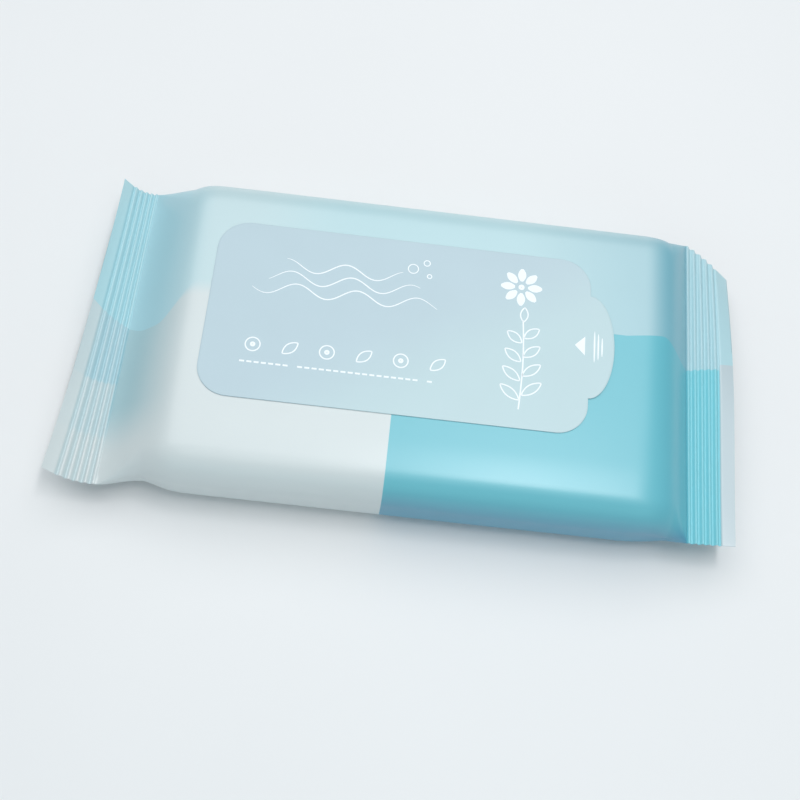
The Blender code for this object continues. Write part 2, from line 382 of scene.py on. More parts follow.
def crimpRibsTree():
    # rolls the crimp's ribs into the seal: a wave on the stored depth, which runs from 0 to 1 over the ribs
    tree, start, end = newTree("crimpRibs", [
        ("Rib Count", "NodeSocketFloat", 5.0),
        ("Rib Height", "NodeSocketFloat", 0.0003),
        ("Film", "NodeSocketMaterial", None),
    ])
    depth = tree.nodes.new("GeometryNodeInputNamedAttribute")
    depth.data_type = "FLOAT"
    depth.inputs["Name"].default_value = "ribDepth"
    ratio = depth.outputs["Attribute"]
    turns = addMath(tree, "MULTIPLY", ratio, start.outputs["Rib Count"])
    wave = addMath(tree, "SINE", addMath(tree, "MULTIPLY", turns, 2.0 * math.pi))
    begun = addMath(tree, "GREATER_THAN", ratio, 0.0)
    inside = addMath(tree, "MULTIPLY", begun, addMath(tree, "LESS_THAN", ratio, 1.0))
    size = addMath(tree, "MULTIPLY", addMath(tree, "MULTIPLY", wave, inside), start.outputs["Rib Height"])
    shift = tree.nodes.new("ShaderNodeCombineXYZ")
    tree.links.new(size, shift.inputs["Z"])
    move = tree.nodes.new("GeometryNodeSetPosition")
    tree.links.new(start.outputs["Geometry"], move.inputs["Geometry"])
    tree.links.new(shift.outputs[0], move.inputs["Offset"])
    realize = tree.nodes.new("GeometryNodeRealizeInstances")
    tree.links.new(move.outputs[0], realize.inputs[0])
    paint = tree.nodes.new("GeometryNodeSetMaterial")
    tree.links.new(realize.outputs[0], paint.inputs["Geometry"])
    tree.links.new(start.outputs["Film"], paint.inputs["Material"])
    tree.links.new(paint.outputs[0], end.inputs[0])
    return tree


def dashRowTree():
    # small raised bars set along a line, a share of them left out at random
    tree, start, end = newTree("dashRow", [
        ("Pitch", "NodeSocketFloat", 0.0015),
        ("Dash Length", "NodeSocketFloat", 0.001),
        ("Dash Height", "NodeSocketFloat", 0.0008),
        ("Skip", "NodeSocketFloat", 0.2),
        ("Seed", "NodeSocketInt", 7),
        ("Ink", "NodeSocketMaterial", None),
    ])
    points = tree.nodes.new("GeometryNodeCurveToPoints")
    points.mode = "LENGTH"
    toCurve = tree.nodes.new("GeometryNodeMeshToCurve")
    tree.links.new(start.outputs["Geometry"], toCurve.inputs["Mesh"])
    tree.links.new(toCurve.outputs[0], points.inputs["Curve"])
    tree.links.new(start.outputs["Pitch"], points.inputs["Length"])
    bar = tree.nodes.new("GeometryNodeMeshCube")
    size = tree.nodes.new("ShaderNodeCombineXYZ")
    tree.links.new(start.outputs["Dash Length"], size.inputs["X"])
    tree.links.new(start.outputs["Dash Height"], size.inputs["Y"])
    size.inputs["Z"].default_value = 0.00001
    tree.links.new(size.outputs[0], bar.inputs["Size"])
    chance = tree.nodes.new("FunctionNodeRandomValue")
    chance.data_type = "FLOAT"
    tree.links.new(start.outputs["Seed"], chance.inputs["Seed"])
    keep = addMath(tree, "GREATER_THAN", chance.outputs[1], start.outputs["Skip"])
    place = tree.nodes.new("GeometryNodeInstanceOnPoints")
    tree.links.new(points.outputs["Points"], place.inputs["Points"])
    tree.links.new(bar.outputs["Mesh"], place.inputs["Instance"])
    tree.links.new(keep, place.inputs["Selection"])
    realize = tree.nodes.new("GeometryNodeRealizeInstances")
    tree.links.new(place.outputs[0], realize.inputs[0])
    paint = tree.nodes.new("GeometryNodeSetMaterial")
    tree.links.new(realize.outputs[0], paint.inputs["Geometry"])
    tree.links.new(start.outputs["Ink"], paint.inputs["Material"])
    tree.links.new(paint.outputs[0], end.inputs[0])
    return tree


def newShaderGroup(name, inputs, outputs):
    group = bpy.data.node_groups.new(name, "ShaderNodeTree")
    for label, kind, value in inputs:
        socket = group.interface.new_socket(label, in_out="INPUT", socket_type=kind)
        if value is not None:
            socket.default_value = value
    for label, kind in outputs:
        group.interface.new_socket(label, in_out="OUTPUT", socket_type=kind)
    return group, group.nodes.new("NodeGroupInput"), group.nodes.new("NodeGroupOutput")


def satinGrainGroup():
    # fine unevenness of plastic film: a bump height, a roughness and a slight tint of the ink
    group, start, end = newShaderGroup("satinGrain", [
        ("Vector", "NodeSocketVector", None),
        ("Grain Scale", "NodeSocketFloat", 2600.0),
        ("Cloud Scale", "NodeSocketFloat", 45.0),
        ("Base Roughness", "NodeSocketFloat", 0.4),
        ("Roughness Spread", "NodeSocketFloat", 0.05),
    ], [("Height", "NodeSocketFloat"), ("Roughness", "NodeSocketFloat"), ("Tint", "NodeSocketFloat")])
    grain = group.nodes.new("ShaderNodeTexNoise")
    cloud = group.nodes.new("ShaderNodeTexNoise")
    grain.inputs["Detail"].default_value = 3.0
    cloud.inputs["Detail"].default_value = 4.0
    for texture, scale in ((grain, "Grain Scale"), (cloud, "Cloud Scale")):
        group.links.new(start.outputs["Vector"], texture.inputs["Vector"])
        group.links.new(start.outputs[scale], texture.inputs["Scale"])
    spread = addMath(group, "SUBTRACT", cloud.outputs[0], 0.5)
    rough = addMath(group, "MULTIPLY", spread, start.outputs["Roughness Spread"])
    group.links.new(addMath(group, "ADD", rough, start.outputs["Base Roughness"]), end.inputs["Roughness"])
    height = addMath(group, "ADD", grain.outputs[0], addMath(group, "MULTIPLY", cloud.outputs[0], 2.0))
    group.links.new(height, end.inputs["Height"])
    tint = addMath(group, "ADD", addMath(group, "MULTIPLY", spread, 0.06), 1.0)
    group.links.new(tint, end.inputs["Tint"])
    return group


def softStepGroup():
    # 0 to 1 as a value passes an edge, over a given softness
    group, start, end = newShaderGroup("softStep", [
        ("Value", "NodeSocketFloat", 0.0),
        ("Edge", "NodeSocketFloat", 0.0),
        ("Softness", "NodeSocketFloat", 0.001),
    ], [("Mask", "NodeSocketFloat")])
    ramp = group.nodes.new("ShaderNodeMapRange")
    ramp.interpolation_type = "SMOOTHSTEP"
    group.links.new(start.outputs["Value"], ramp.inputs["Value"])
    low = addMath(group, "SUBTRACT", start.outputs["Edge"], start.outputs["Softness"])
    high = addMath(group, "ADD", start.outputs["Edge"], start.outputs["Softness"])
    group.links.new(low, ramp.inputs["From Min"])
    group.links.new(high, ramp.inputs["From Max"])
    group.links.new(ramp.outputs["Result"], end.inputs["Mask"])
    return group


satinGrain = satinGrainGroup()
softStep = softStepGroup()


def useGroup(tree, group, **values):
    node = tree.nodes.new("ShaderNodeGroup")
    node.node_tree = group
    for label, value in values.items():
        socket = node.inputs[label.replace("_", " ")]
        if isinstance(value, (int, float)):
            socket.default_value = value
        else:
            tree.links.new(value, socket)
    return node


def mixColour(tree, factor, a, b, mode="MIX"):
    node = tree.nodes.new("ShaderNodeMix")
    node.data_type = "RGBA"
    node.blend_type = mode
    for socket, value in ((node.inputs[0], factor), (node.inputs[6], a), (node.inputs[7], b)):
        if isinstance(value, (int, float, tuple)):
            socket.default_value = value
        else:
            tree.links.new(value, socket)
    return node.outputs[2]


def newMaterial(name, specular):
    material = bpy.data.materials.new(name)
    material.use_nodes = True
    tree = material.node_tree
    shader = tree.nodes["Principled BSDF"]
    shader.inputs["Specular IOR Level"].default_value = specular
    return material, tree, shader


def addGrain(tree, shader, baseColour, roughness, bump, cloudScale=45.0):
    where = tree.nodes.new("ShaderNodeTexCoord")
    grain = useGroup(tree, satinGrain, Vector=where.outputs["Object"],
                     Base_Roughness=roughness, Cloud_Scale=cloudScale)
    tree.links.new(grain.outputs["Roughness"], shader.inputs["Roughness"])
    tinted = mixColour(tree, 1.0, baseColour, grain.outputs["Tint"], "MULTIPLY")
    tree.links.new(tinted, shader.inputs["Base Color"])
    relief = tree.nodes.new("ShaderNodeBump")
    relief.inputs["Strength"].default_value = bump
    relief.inputs["Distance"].default_value = 0.00002
    tree.links.new(grain.outputs["Height"], relief.inputs["Height"])
    tree.links.new(relief.outputs["Normal"], shader.inputs["Normal"])


inks = {
    "teal": screenColour((185, 214, 219)),
    "deepTeal": screenColour((173, 210, 219)),
    "rightTeal": screenColour((168, 202, 210)),
    "sealFar": screenColour((186, 220, 226)),
    "rightSealFar": screenColour((180, 213, 220)),
    "white": screenColour((213, 219, 219)),
    "strip": screenColour((191, 203, 208)),
    "turquoise": screenColour((109, 189, 202)),
    "sealTurquoise": screenColour((135, 208, 218)),
    "sealTeal": screenColour((158, 208, 221)),
    "throughAndShade": screenColour((178, 222, 232)),      # partly the blue of the back showing through the film, partly painted shade
    # painted shade laid over the lower near wall
    "wallShade": screenColour((194, 211, 232)),
    "label": screenColour((188, 206, 214)),
    "labelBright": screenColour((193, 214, 218)),
    "print": screenColour((246, 249, 251)),
}

# a pair of lengths is a place and its softness; places along the film count inwards from a seal's inner line
field = {
    "edge": 0.08 * mm,
    "halfOffset": 0.2 * mm,    # from the middle of the label to the line between white and turquoise
    "lineOffset": 3.9 * mm,    # from the middle of the label to the line between the far and near fields
    "leftDrop": (11.5 * mm, 4.0 * mm),
    "leftFall": 5.7 * mm,
    "sinkStart": (1.5 * mm, 3.0 * mm),
    "sinkEnd": (10.0 * mm, 3.5 * mm),
    "sinkFall": 1.8 * mm,
    "rightDrop": (4.6 * mm, 3.4 * mm),
    "rightFall": 4.9 * mm,
    "tabRun": 16.5 * mm,       # the line slants a little beside the tab, from here to the right seal
    "tabSlant": 0.14,
    "leftSlant": 0.3,
    "rightSlant": 0.41,
    "stripInset": 8.2 * mm,    # plain strip along the right seal's edge
    "stripStep": 1.4 * mm,
    "blur": 2.4 * mm,          # the line is softer between the left slope and the label
    "blurStart": (13.0 * mm, 3.0 * mm),
    "blurEnd": 1.0 * mm,
    "wallEdge": (-37.5 * mm, 4.0 * mm),
    "seam": 0.5 * mm,
    "bondEdges": ((-13.4 * mm, 0.4 * mm), (-26.2 * mm, 0.8 * mm)),
    "bond": (0.40, 0.19),
    "ribEdge": (8.6 * mm, 0.5 * mm),
    "ribShares": (0.2, 0.6),   # how much of the bond tint the plain band takes, and what the ribs add
    # painted highlight: the far field is whitened towards the left ridge, over this reach and by this share
    "ridgeHighlightReach": (36.0 * mm, 14.0 * mm),
    "ridgeHighlightShare": 0.3,
    "leftTeal": (12.0 * mm, 5.0 * mm),
    "rightTeal": (27.0 * mm, 18.0 * mm),
    # painted shade and see-through blue on the slopes beside the seals: edge softness, reaches and strengths
    "shadeEdge": 0.4 * mm,
    "leftShadeReach": (9.5 * mm, 7.0 * mm),
    "rightShadeReach": (9.0 * mm, 3.5 * mm),
    "nearFade": (-25.0 * mm, 7.0 * mm),
    "nearShadeStrength": (0.74, 0.34),    # strength on the left and on the right
    "farShadeStrength": (0.04, 0.92),
    # painted shade in the crimp's valleys, on the left and on the right
    "valleyShade": (0.34, 0.16),
    "specular": 0.8,
    "roughness": 0.32,
    "grain": 0.30,
}


def filmMaterial():
    # colour fields follow the flat film, so they bend with it over the slopes and the seals
    material, tree, shader = newMaterial("printedFilm", field["specular"])
    flat = tree.nodes.new("ShaderNodeUVMap")
    flat.uv_map = "flatFilm"
    parts = tree.nodes.new("ShaderNodeSeparateXYZ")
    tree.links.new(flat.outputs["UV"], parts.inputs[0])
    along, across = parts.outputs["X"], parts.outputs["Y"]
    leftX, rightX = seamX(leftSeal), seamX(rightSeal)

    def times(a, b):
        return addMath(tree, "MULTIPLY", a, b)

    def plus(a, b):
        return addMath(tree, "ADD", a, b)

    def minus(a, b):
        return addMath(tree, "SUBTRACT", a, b)

    def passing(value, place, softness):
        step = useGroup(tree, softStep, Value=value, Edge=place * flatScale, Softness=softness * flatScale)
        return step.outputs[0]

    def rightOf(place, softness):
        return passing(along, place, softness)

    def leftOf(place, softness):
        return minus(1.0, rightOf(place, softness))

    def inFromLeft(name):
        return leftX + field[name][0], field[name][1]

    def inFromRight(name):
        return rightX - field[name][0], field[name][1]

    rightHalf = rightOf(labelCentre.x + field["halfOffset"], field["edge"])
    strip = rightOf(rightX + field["stripInset"], field["edge"] * 2.0)
    # the line between the far and near fields runs straight over the top and drops at both ends
    line = plus(across, times(leftOf(*inFromLeft("leftDrop")), field["leftFall"] * flatScale))
    sunken = times(rightOf(*inFromLeft("sinkStart")), leftOf(*inFromLeft("sinkEnd")))
    line = plus(line, times(sunken, field["sinkFall"] * flatScale))
    line = plus(line, times(rightOf(*inFromRight("rightDrop")), field["rightFall"] * flatScale))
    pastTab = addMath(tree, "MAXIMUM", minus(along, (rightX - field["tabRun"]) * flatScale), 0.0)
    pastTab = addMath(tree, "MINIMUM", pastTab, field["tabRun"] * flatScale)
    pastLeft = addMath(tree, "MAXIMUM", minus(leftX * flatScale, along), 0.0)
    pastRight = addMath(tree, "MAXIMUM", minus(along, rightX * flatScale), 0.0)
    for run, slant in ((pastTab, "tabSlant"), (pastLeft, "leftSlant"), (pastRight, "rightSlant")):
        line = minus(line, times(run, field[slant]))
    line = minus(line, times(strip, field["stripStep"] * flatScale))
    blurred = times(rightOf(*inFromLeft("blurStart")), leftOf(labelCentre.x, field["blurEnd"]))
    softness = plus(times(blurred, field["blur"] * flatScale), field["edge"] * flatScale)
    lineY = (labelCentre.y + field["lineOffset"] - blockCentreY) * flatScale
    farSide = useGroup(tree, softStep, Value=line, Edge=lineY, Softness=softness).outputs[0]

    onLeft, onRight = leftOf(leftX, field["seam"]), rightOf(rightX, field["seam"])
    near = mixColour(tree, rightHalf, inks["white"], inks["turquoise"])
    # painted shade: the lower near wall of the turquoise half is darkened
    wallShadeMask = times(rightHalf, minus(1.0, passing(across, *field["wallEdge"])))
    near = mixColour(tree, wallShadeMask, near, inks["wallShade"], "MULTIPLY")
    near = mixColour(tree, onRight, near, inks["sealTurquoise"])
    near = mixColour(tree, strip, near, inks["strip"])
    # the left seal's near half lets the blue back show through in steps where the two films are bonded
    firstStep, secondStep = (passing(across, *edge) for edge in field["bondEdges"])
    seen = plus(times(firstStep, field["bond"][0]), times(secondStep, field["bond"][1]))
    bandShare, ribShare = field["ribShares"]
    ribbed = plus(times(rightOf(leftX - field["ribEdge"][0], field["ribEdge"][1]), ribShare), bandShare)
    near = mixColour(tree, times(times(onLeft, ribbed), seen), near, inks["sealTeal"])
    # the far field is printed paler over the flat top than over the ends, and whitened towards the left ridge
    # as a painted highlight
    ridgeHighlight = times(leftOf(*inFromLeft("ridgeHighlightReach")), field["ridgeHighlightShare"])
    far = mixColour(tree, ridgeHighlight, inks["teal"], inks["white"])
    far = mixColour(tree, rightOf(*inFromLeft("leftTeal")), inks["deepTeal"], far)
    far = mixColour(tree, rightOf(*inFromRight("rightTeal")), far, inks["rightTeal"])
    far = mixColour(tree, onLeft, far, inks["sealFar"])
    far = mixColour(tree, onRight, far, inks["rightSealFar"])
    # on the slopes beside the seals, where the film stands off the wipes, the blue of the back shows through
    # it, and painted shade darkens them further
    offSeal = rightOf(leftX - field["shadeEdge"], field["shadeEdge"])
    leftSlopeShade = times(times(offSeal, leftOf(*inFromLeft("leftShadeReach"))), passing(across, *field["nearFade"]))
    rightSlopeShade = times(leftOf(rightX, field["shadeEdge"]), rightOf(*inFromRight("rightShadeReach")))
    slopeShades = []
    for leftShare, rightShare in (field["nearShadeStrength"], field["farShadeStrength"]):
        slopeShades.append(plus(times(leftSlopeShade, leftShare), times(rightSlopeShade, rightShare)))
    near = mixColour(tree, slopeShades[0], near, inks["throughAndShade"], "MULTIPLY")
    far = mixColour(tree, slopeShades[1], far, inks["throughAndShade"], "MULTIPLY")
    colour = mixColour(tree, farSide, near, far)
    # painted shade: the crimp's valleys are darkened against its ridges
    depth = tree.nodes.new("ShaderNodeAttribute")
    depth.attribute_name = "ribDepth"
    turns = depth.outputs["Fac"]
    inside = times(addMath(tree, "GREATER_THAN", turns, 0.0), addMath(tree, "LESS_THAN", turns, 1.0))
    wave = addMath(tree, "SINE", times(turns, 2.0 * math.pi * wrapper["ribCount"]))
    deepness = plus(times(onLeft, field["valleyShade"][0]), times(onRight, field["valleyShade"][1]))
    valleyShade = times(minus(0.5, times(wave, 0.5)), times(inside, deepness))
    colour = mixColour(tree, valleyShade, colour, inks["throughAndShade"], "MULTIPLY")
    addGrain(tree, shader, colour, field["roughness"], field["grain"])
    return material


labelLook = {
    "specular": 0.5,
    "roughness": 0.42,
    "grain": 0.2,
    "cloudScale": 70.0,
    "slant": 1.6,    # the label is brighter towards its near right corner, across a slanted line
    "brightEdge": (6.0 * mm, 22.0 * mm),
}


def labelMaterial():
    material, tree, shader = newMaterial("satinLabel", labelLook["specular"])
    where = tree.nodes.new("ShaderNodeTexCoord")
    parts = tree.nodes.new("ShaderNodeSeparateXYZ")
    tree.links.new(where.outputs["Object"], parts.inputs[0])
    slant = addMath(tree, "MULTIPLY", parts.outputs["Y"], labelLook["slant"])
    slant = addMath(tree, "SUBTRACT", parts.outputs["X"], slant)
    place, softness = labelLook["brightEdge"]
    bright = useGroup(tree, softStep, Value=slant, Edge=place, Softness=softness)
    colour = mixColour(tree, bright.outputs[0], inks["label"], inks["labelBright"])
    addGrain(tree, shader, colour, labelLook["roughness"], labelLook["grain"], labelLook["cloudScale"])
    return material


printLook = {
    "specular": 0.4,
    "roughness": 0.5,
    "grain": 0.2,
    "cloudScale": 200.0,
}


def inkMaterial():
    material, tree, shader = newMaterial("whitePrint", printLook["specular"])
    addGrain(tree, shader, inks["print"], printLook["roughness"], printLook["grain"], printLook["cloudScale"])
    return material


label = {
    "corner": 7.0 * mm,
    "thickness": 0.18 * mm,
    "tabHalfWidth": 12.6 * mm,
    "tabReach": 5.6 * mm,
    "tabLift": 0.18 * mm,
    "liftRun": (-2.0 * mm, 6.0 * mm),    # where the lift begins, from the tab's root, and its length
    "gap": 0.08 * mm,
    "edgeDrop": 0.05 * mm,
    "rings": [1.0, 0.997, 0.99, 0.975, 0.95, 0.91, 0.86, 0.8, 0.72, 0.62, 0.5, 0.38, 0.26, 0.14, 0.05],
}
labelHalfX = (labelHigh.x - labelLow.x - label["tabReach"]) / 2.0
labelHalfY = (labelHigh.y - labelLow.y) / 2.0
labelCentre = Vector((labelLow.x + labelHalfX, (labelLow.y + labelHigh.y) / 2.0))


def arc(centreX, centreY, radiusX, radiusY, start, end, steps):
    turns = [math.radians(mix(start, end, i / steps)) for i in range(steps + 1)]
    return [(centreX + radiusX * math.cos(t), centreY + radiusY * math.sin(t)) for t in turns]


def labelOutline():
    insetX = labelHalfX - label["corner"]
    insetY = labelHalfY - label["corner"]
    r = label["corner"]
    outline = arc(insetX, -insetY, r, r, -90, 0, 16)
    outline += arc(labelHalfX, 0.0, label["tabReach"], label["tabHalfWidth"], -90, 90, 44)
    outline += arc(insetX, insetY, r, r, 0, 90, 16)
    outline += [(mix(insetX, -insetX, i / 20), labelHalfY) for i in range(1, 20)]
    outline += arc(-insetX, insetY, r, r, 90, 180, 16)
    outline += arc(-insetX, -insetY, r, r, 180, 270, 16)
    outline += [(mix(-insetX, insetX, i / 20), -labelHalfY) for i in range(1, 20)]
    return outline


def filmTop(x, y):
    # height of the wrapper's top under a point of the label
    return wrapper["blockHeight"] - topDip(x, y - blockCentreY)


def labelTop(x, y):
    # the tab isn't stuck down, so it stands a little off the film
    begins, run = label["liftRun"]
    lift = label["tabLift"] * smooth((x - labelCentre.x - labelHalfX - begins) / run)
    return filmTop(x, y) + label["gap"] + label["thickness"] + lift


def makeLabel(material):
    bm = bmesh.new()
    outline = labelOutline()
    tops, unders = [], []
    for scale in label["rings"]:
        top, under = [], []
        for x, y in outline:
            px, py = labelCentre.x + x * scale, labelCentre.y + y * scale
            rounded = label["edgeDrop"] if scale == 1.0 else 0.0
            height = labelTop(px, py)
            top.append(bm.verts.new((px, py, height - rounded)))
            under.append(bm.verts.new((px, py, height - label["thickness"])))
        tops.append(top)
        unders.append(under)
    count = len(outline)
    for rings, flip in ((tops, False), (unders, True)):
        for outer, inner in zip(rings, rings[1:]):
            for i in range(count):
                j = (i + 1) % count
                quad = (outer[i], outer[j], inner[j], inner[i])
                bm.faces.new(tuple(reversed(quad)) if flip else quad)
        bm.faces.new(tuple(reversed(rings[-1])) if flip else rings[-1])
    for i in range(count):
        j = (i + 1) % count
        bm.faces.new((unders[0][i], unders[0][j], tops[0][j], tops[0][i]))
    return finishMesh("resealLabel", bm, material)


def finishMesh(name, bm, material, angle=40.0):
    bmesh.ops.remove_doubles(bm, verts=bm.verts, dist=1e-8)
    bmesh.ops.recalc_face_normals(bm, faces=bm.faces)
    mesh = bpy.data.meshes.new(name)
    bm.to_mesh(mesh)
    bm.free()
    mesh.shade_smooth()
    mesh.set_sharp_from_angle(angle=math.radians(angle))
    mesh.materials.append(material)
    obj = bpy.data.objects.new(name, mesh)
    bpy.context.scene.collection.objects.link(obj)
    return obj


# thin white lines and small plain shapes, placed from the middle of the label
printed = {
    "stroke": 0.30 * mm,
    "inkHeight": 0.014 * mm,
    "sharpAngle": 80.0,
}
waves = {
    "rows": 3,
    "start": -33.5 * mm,
    "end": 8.0 * mm,
    "stepIn": (3.4 * mm, 4.2 * mm),    # how much shorter each next row is, at its start and its end
    "y": 5.6 * mm,
    "pitch": 3.1 * mm,
    "length": 13.5 * mm,
    "height": 1.5 * mm,
    "shift": 0.7,
    "steps": 96,
    "rings": ((1.8 * mm, 14.4 * mm, 1.15 * mm), (4.8 * mm, 16.2 * mm, 0.7 * mm),
              (5.6 * mm, 12.9 * mm, 0.5 * mm)),
    "ringWidth": 0.24 * mm,
}
icons = {
    "count": 6,
    "place": (-31.4 * mm, -8.7 * mm),
    "pitch": 8.1 * mm,
    "leaf": (4.2 * mm, 2.1 * mm, 42.0),    # length, width and angle, as in all the leaves below
    "leafShift": (-1.5 * mm, -1.4 * mm),
    "ring": 1.6 * mm,
    "dot": (0.35 * mm, 0.5 * mm),
}
flower = {
    "place": (26.6 * mm, 12.9 * mm),
    "petals": 8,
    "stalk": 1.25 * mm,
    "petal": (3.7 * mm, 1.9 * mm),
    "eye": (0.4 * mm, 0.6 * mm),
}
sprig = {
    "x": 27.3 * mm,
    "low": -17.0 * mm,
    "high": 4.6 * mm,
    "bend": 0.5 * mm,
    "steps": 40,
    "pairs": 4,
    "pairRange": (3.4 * mm, 4.4 * mm),    # from the stem's foot and from its tip
    "lengths": (5.4 * mm, 4.2 * mm),
    "width": 2.0 * mm,
    "angles": (38.0, 142.0),
    "stagger": 1.2 * mm,
    "tip": (3.6 * mm, 1.7 * mm, 88.0),
    "tipShift": (0.2 * mm, -0.4 * mm),
}
tabMarks = {
    "tip": 39.2 * mm,
    "back": 41.5 * mm,
    "half": 2.35 * mm,
    "blunt": 0.02 * mm,
    "lineStart": 43.6 * mm,
    "linePitch": 0.85 * mm,
    "lineLengths": (7.6 * mm, 6.4 * mm, 4.6 * mm),
    "steps": 12,
}
dashes = {
    "start": -33.2 * mm,
    "end": 9.2 * mm,
    "y": -12.9 * mm,
    "steps": 12,
    "pitch": 1.55 * mm,
    "length": 1.1 * mm,
    "height": 0.42 * mm,
    "skip": 0.16,    # share of the dashes left out, for gaps
    "seed": 11,
}


def addSlab(bm, left, right, closed=False):
    # a flat strip between two lines, with a lower copy and side walls
    rows = []
    for (ax, ay), (bx, by) in zip(left, right):
        rows.append([bm.verts.new((ax, ay, 1.0)), bm.verts.new((bx, by, 1.0)),
                     bm.verts.new((bx, by, 0.0)), bm.verts.new((ax, ay, 0.0))])
    pairs = list(zip(rows, rows[1:]))
    if closed:
        pairs.append((rows[-1], rows[0]))
    for first, second in pairs:
        for k in range(4):
            m = (k + 1) % 4
            bm.faces.new((first[k], first[m], second[m], second[k]))
    if not closed:
        bm.faces.new(rows[0])
        bm.faces.new(tuple(reversed(rows[-1])))


def addStroke(bm, points, width, taper=True):
    left, right = [], []
    last = len(points) - 1
    for i, (x, y) in enumerate(points):
        ahead = points[min(i + 1, last)]
        behind = points[max(i - 1, 0)]
        dx, dy = ahead[0] - behind[0], ahead[1] - behind[1]
        length = math.hypot(dx, dy)
        half = width / 2.0
        if taper:
            half *= 0.25 + 0.75 * math.sin(math.pi * min(max(i / last, 0.0), 1.0)) ** 0.5
        left.append((x - dy / length * half, y + dx / length * half))
        right.append((x + dy / length * half, y - dx / length * half))
    addSlab(bm, left, right)


def addRing(bm, x, y, radius, width, steps=40):
    turns = [2.0 * math.pi * i / steps for i in range(steps)]
    wide, narrow = radius + width / 2.0, radius - width / 2.0
    outer = [(x + wide * math.cos(t), y + wide * math.sin(t)) for t in turns]
    inner = [(x + narrow * math.cos(t), y + narrow * math.sin(t)) for t in turns]
    addSlab(bm, outer, inner, closed=True)


def addLeaf(bm, x, y, length, width, angle, filled):
    # pointed oval from its stalk, as a solid shape or as two strokes
    turn = math.radians(angle)
    alongX, alongY = math.cos(turn), math.sin(turn)
    upper, lower = [], []
    for i in range(17):
        t = i / 16
        reach, half = length * t, width / 2.0 * math.sin(math.pi * t) ** 0.8
        upper.append((x + reach * alongX - half * alongY, y + reach * alongY + half * alongX))
        lower.append((x + reach * alongX + half * alongY, y + reach * alongY - half * alongX))
    if filled:
        addSlab(bm, upper[1:-1], lower[1:-1])
    else:
        addStroke(bm, upper, printed["stroke"], taper=False)
        addStroke(bm, lower, printed["stroke"], taper=False)


def dropOntoLabel(bm):
    # strips are drawn at height 0 and 1, then laid on the label's own surface
    for vert in bm.verts:
        x, y = labelCentre.x + vert.co.x, labelCentre.y + vert.co.y
        vert.co = (x, y, labelTop(x, y) + printed["inkHeight"] * mix(0.2, 1.0, vert.co.z))


def makeWaves(ink):
    bm = bmesh.new()
    for row in range(waves["rows"]):
        start = waves["start"] + row * waves["stepIn"][0]
        end = waves["end"] - row * waves["stepIn"][1]
        points = []
        for i in range(waves["steps"] + 1):
            x = mix(start, end, i / waves["steps"])
            y = waves["y"] + row * waves["pitch"]
            y += waves["height"] * math.sin(2.0 * math.pi * x / waves["length"] + row * waves["shift"])
            points.append((x, y))
        addStroke(bm, points, printed["stroke"])
    for x, y, radius in waves["rings"]:
        addRing(bm, x, y, radius, waves["ringWidth"])
    dropOntoLabel(bm)
    return finishMesh("printWaves", bm, ink, printed["sharpAngle"])


def makeIconRow(ink):
    # leaves and rings in turn
    bm = bmesh.new()
    startX, y = icons["place"]
    shiftX, shiftY = icons["leafShift"]
    for i in range(icons["count"]):
        x = startX + i * icons["pitch"]
        if i % 2:
            addLeaf(bm, x + shiftX, y + shiftY, *icons["leaf"], False)
        else:
            addRing(bm, x, y, icons["ring"], printed["stroke"])
            addRing(bm, x, y, *icons["dot"], 16)
    dropOntoLabel(bm)
    return finishMesh("printIcons", bm, ink, printed["sharpAngle"])


def makeFlower(ink):
    bm = bmesh.new()
    x, y = flower["place"]
    for i in range(flower["petals"]):
        angle = 360.0 * i / flower["petals"]
        turn = math.radians(angle)
        rootX, rootY = x + flower["stalk"] * math.cos(turn), y + flower["stalk"] * math.sin(turn)
        addLeaf(bm, rootX, rootY, *flower["petal"], angle, True)
    addRing(bm, x, y, *flower["eye"], 20)
    dropOntoLabel(bm)
    return finishMesh("printFlower", bm, ink, printed["sharpAngle"])


def makeSprig(ink):
    bm = bmesh.new()
    low, high, x = sprig["low"], sprig["high"], sprig["x"]
    shares = [i / sprig["steps"] for i in range(sprig["steps"] + 1)]
    stem = [(x + sprig["bend"] * math.sin(3.0 * t), mix(low, high, t)) for t in shares]
    addStroke(bm, stem, printed["stroke"] * 1.1, taper=False)
    fromLow, fromHigh = sprig["pairRange"]
    rightAngle, leftAngle = sprig["angles"]
    for i in range(sprig["pairs"]):
        t = i / (sprig["pairs"] - 1)
        y = mix(low + fromLow, high - fromHigh, t)
        length = mix(*sprig["lengths"], t)
        addLeaf(bm, x + sprig["bend"], y, length, sprig["width"], rightAngle, False)
        addLeaf(bm, x, y - sprig["stagger"], length, sprig["width"], leftAngle, False)
    shiftX, shiftY = sprig["tipShift"]
    addLeaf(bm, x + shiftX, high + shiftY, *sprig["tip"], False)
    dropOntoLabel(bm)
    return finishMesh("printSprig", bm, ink, printed["sharpAngle"])


def makeTabMarks(ink):
    # arrow that points the way the label peels, and grip lines for the thumb
    bm = bmesh.new()
    backX, half, blunt = tabMarks["back"], tabMarks["half"], tabMarks["blunt"]
    tipX = tabMarks["tip"] + blunt
    addSlab(bm, [(tipX, blunt), (backX, half)], [(tipX, -blunt), (backX, -half)])
    steps = tabMarks["steps"]
    for i, length in enumerate(tabMarks["lineLengths"]):
        x = tabMarks["lineStart"] + tabMarks["linePitch"] * i
        line = [(x, mix(-length, length, k / steps) / 2.0) for k in range(steps + 1)]
        addStroke(bm, line, printed["stroke"] * 1.2)
    dropOntoLabel(bm)
    return finishMesh("printTabMarks", bm, ink, printed["sharpAngle"])


